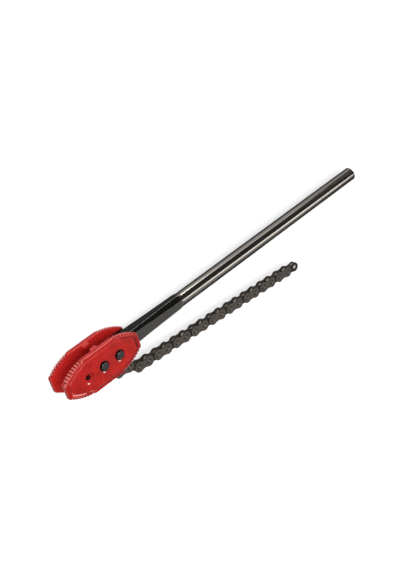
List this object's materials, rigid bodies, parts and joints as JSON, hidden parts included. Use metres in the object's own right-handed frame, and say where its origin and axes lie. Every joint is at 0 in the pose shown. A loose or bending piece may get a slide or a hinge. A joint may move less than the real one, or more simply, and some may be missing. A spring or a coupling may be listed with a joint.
{
  "type": "chain pipe wrench",
  "caption": "Pipe wrench with two toothed jaw plates bolted to a long steel handle, and a flat-link chain that wraps round a pipe and hooks between the jaws.",
  "frame": {"origin": "on the lower jaw's outer face, midway between its front and middle holes", "axes": "+X along the handle, away from the jaws; +Y away from the side where the chain lies; +Z square to the jaws' faces"},
  "size_m": [1.0806, 0.199, 0.0809],
  "materials": {
    "jaw_paint": "glossy red paint",
    "handle_paint": "satin black paint over a forging",
    "fastener_steel": "dull grey steel",
    "chain_steel": "dark oiled steel"
  },
  "bodies": {
    "frame": {"upper_jaw": "jaw_paint", "lower_jaw": "jaw_paint", "handle": "handle_paint", "middle_jaw_bolt": "fastener_steel", "rear_jaw_bolt": "fastener_steel", "middle_jaw_nut": "fastener_steel", "rear_jaw_nut": "fastener_steel", "anchor_pin": "chain_steel"},
    "anchor": {"anchor_link": "chain_steel"},
    "link_01": {"chain_link_01": "chain_steel"},
    "link_02": {"chain_link_02": "chain_steel"},
    "link_03": {"chain_link_03": "chain_steel"},
    "link_04": {"chain_link_04": "chain_steel"},
    "link_05": {"chain_link_05": "chain_steel"},
    "link_06": {"chain_link_06": "chain_steel"},
    "link_07": {"chain_link_07": "chain_steel"},
    "link_08": {"chain_link_08": "chain_steel"},
    "link_09": {"chain_link_09": "chain_steel"},
    "link_10": {"chain_link_10": "chain_steel"},
    "link_11": {"chain_link_11": "chain_steel"},
    "link_12": {"chain_link_12": "chain_steel"},
    "link_13": {"chain_link_13": "chain_steel"},
    "link_14": {"chain_link_14": "chain_steel"},
    "link_15": {"chain_link_15": "chain_steel"},
    "link_16": {"chain_link_16": "chain_steel"},
    "link_17": {"chain_link_17": "chain_steel"},
    "link_18": {"chain_link_18": "chain_steel"},
    "link_19": {"chain_link_19": "chain_steel"},
    "link_20": {"chain_link_20": "chain_steel"},
    "link_21": {"chain_link_21": "chain_steel"},
    "link_22": {"chain_link_22": "chain_steel"}
  },
  "joints": [
    {"name": "anchor_swing", "type": "hinge", "parent": "frame", "child": "anchor", "pos_m": [0.00025, 0, 0.037], "axis": [0, 0, -1], "range_deg": [-1.5, 180]},
    {"name": "link_01_hinge", "type": "hinge", "parent": "anchor", "child": "link_01", "pos_m": [0.00668, -0.05019, 0.037], "axis": [0, 0, 1], "range_deg": [-20, 1]},
    {"name": "link_02_hinge", "type": "hinge", "parent": "link_01", "child": "link_02", "pos_m": [0.03826, -0.05351, 0.037], "axis": [0, 0, 1], "range_deg": [-20.4, 8]},
    {"name": "link_03_hinge", "type": "hinge", "parent": "link_02", "child": "link_03", "pos_m": [0.06878, -0.06226, 0.037], "axis": [0, 0, 1], "range_deg": [-20.9, 8]},
    {"name": "link_04_hinge", "type": "hinge", "parent": "link_03", "child": "link_04", "pos_m": [0.10022, -0.06668, 0.037], "axis": [0, 0, 1], "range_deg": [-21.4, 9]},
    {"name": "link_05_hinge", "type": "hinge", "parent": "link_04", "child": "link_05", "pos_m": [0.12626, -0.08485, 0.037], "axis": [0, 0, 1], "range_deg": [-21.9, 9]},
    {"name": "link_06_hinge", "type": "hinge", "parent": "link_05", "child": "link_06", "pos_m": [0.15787, -0.08775, 0.037], "axis": [0, 0, 1], "range_deg": [-22.5, 10]},
    {"name": "link_07_hinge", "type": "hinge", "parent": "link_06", "child": "link_07", "pos_m": [0.18949, -0.09067, 0.037], "axis": [0, 0, 1], "range_deg": [-23.1, 10]},
    {"name": "link_08_hinge", "type": "hinge", "parent": "link_07", "child": "link_08", "pos_m": [0.2211, -0.09358, 0.037], "axis": [0, 0, 1], "range_deg": [-23.8, 11]},
    {"name": "link_09_hinge", "type": "hinge", "parent": "link_08", "child": "link_09", "pos_m": [0.25272, -0.09649, 0.037], "axis": [0, 0, 1], "range_deg": [-24.5, 12]},
    {"name": "link_10_hinge", "type": "hinge", "parent": "link_09", "child": "link_10", "pos_m": [0.28434, -0.0994, 0.037], "axis": [0, 0, 1], "range_deg": [-25.3, 13]},
    {"name": "link_11_hinge", "type": "hinge", "parent": "link_10", "child": "link_11", "pos_m": [0.31595, -0.10231, 0.037], "axis": [0, 0, 1], "range_deg": [-26.2, 14]},
    {"name": "link_12_hinge", "type": "hinge", "parent": "link_11", "child": "link_12", "pos_m": [0.34757, -0.10522, 0.037], "axis": [0, 0, 1], "range_deg": [-27.2, 15]},
    {"name": "link_13_hinge", "type": "hinge", "parent": "link_12", "child": "link_13", "pos_m": [0.37919, -0.10813, 0.037], "axis": [0, 0, 1], "range_deg": [-28.3, 17]},
    {"name": "link_14_hinge", "type": "hinge", "parent": "link_13", "child": "link_14", "pos_m": [0.4108, -0.11104, 0.037], "axis": [0, 0, 1], "range_deg": [-29.5, 19]},
    {"name": "link_15_hinge", "type": "hinge", "parent": "link_14", "child": "link_15", "pos_m": [0.44242, -0.11395, 0.037], "axis": [0, 0, 1], "range_deg": [-31, 21]},
    {"name": "link_16_hinge", "type": "hinge", "parent": "link_15", "child": "link_16", "pos_m": [0.47404, -0.11686, 0.037], "axis": [0, 0, 1], "range_deg": [-32.7, 24]},
    {"name": "link_17_hinge", "type": "hinge", "parent": "link_16", "child": "link_17", "pos_m": [0.50565, -0.11977, 0.037], "axis": [0, 0, 1], "range_deg": [-34.6, 29]},
    {"name": "link_18_hinge", "type": "hinge", "parent": "link_17", "child": "link_18", "pos_m": [0.53727, -0.12268, 0.037], "axis": [0, 0, 1], "range_deg": [-37, 36]},
    {"name": "link_19_hinge", "type": "hinge", "parent": "link_18", "child": "link_19", "pos_m": [0.56888, -0.12559, 0.037], "axis": [0, 0, 1], "range_deg": [-40, 45]},
    {"name": "link_20_hinge", "type": "hinge", "parent": "link_19", "child": "link_20", "pos_m": [0.6005, -0.12851, 0.037], "axis": [0, 0, 1], "range_deg": [-43.8, 55]},
    {"name": "link_21_hinge", "type": "hinge", "parent": "link_20", "child": "link_21", "pos_m": [0.63212, -0.13142, 0.037], "axis": [0, 0, 1], "range_deg": [-48.9, 55]},
    {"name": "link_22_hinge", "type": "hinge", "parent": "link_21", "child": "link_22", "pos_m": [0.66373, -0.13433, 0.037], "axis": [0, 0, 1], "range_deg": [-56.4, 55]}
  ]
}
